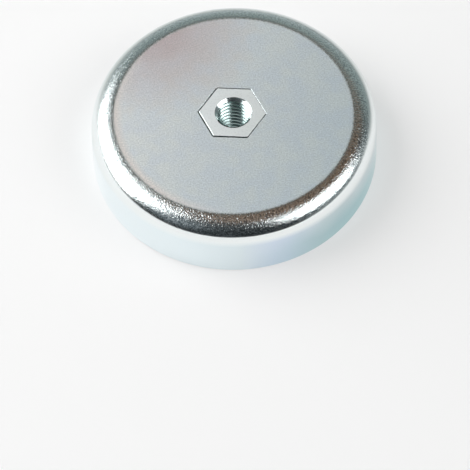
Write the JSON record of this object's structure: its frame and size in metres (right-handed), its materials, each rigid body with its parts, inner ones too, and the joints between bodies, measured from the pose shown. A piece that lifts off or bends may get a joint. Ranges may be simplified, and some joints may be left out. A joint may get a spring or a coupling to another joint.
{
  "type": "pot magnet",
  "caption": "Round flat pot magnet: a zinc-plated drawn steel cup over a ferrite ring, with a hexagonal threaded steel core flush in its top for a bolt, hook or eye.",
  "frame": {"origin": "middle of the magnetic face, which the magnet stands on", "axes": "+Z along the thread, from the magnetic face to the flat top; +X through a corner of the hexagon"},
  "size_m": [0.08, 0.08, 0.018],
  "materials": {
    "zinc_plated_sheet": "bright zinc plate with a pale blue passivation, matt on the flat top and smooth on the side",
    "zinc_plated_core": "turned and zinc plated",
    "hard_ferrite": "sintered and ground, dull dark grey",
    "epoxy_resin": "cast, glossy black"
  },
  "bodies": {
    "root": {"steel_pot": "zinc_plated_sheet", "threaded_core": "zinc_plated_core", "ferrite_ring": "hard_ferrite", "outer_resin": "epoxy_resin", "inner_resin": "epoxy_resin"}
  },
  "joints": []
}
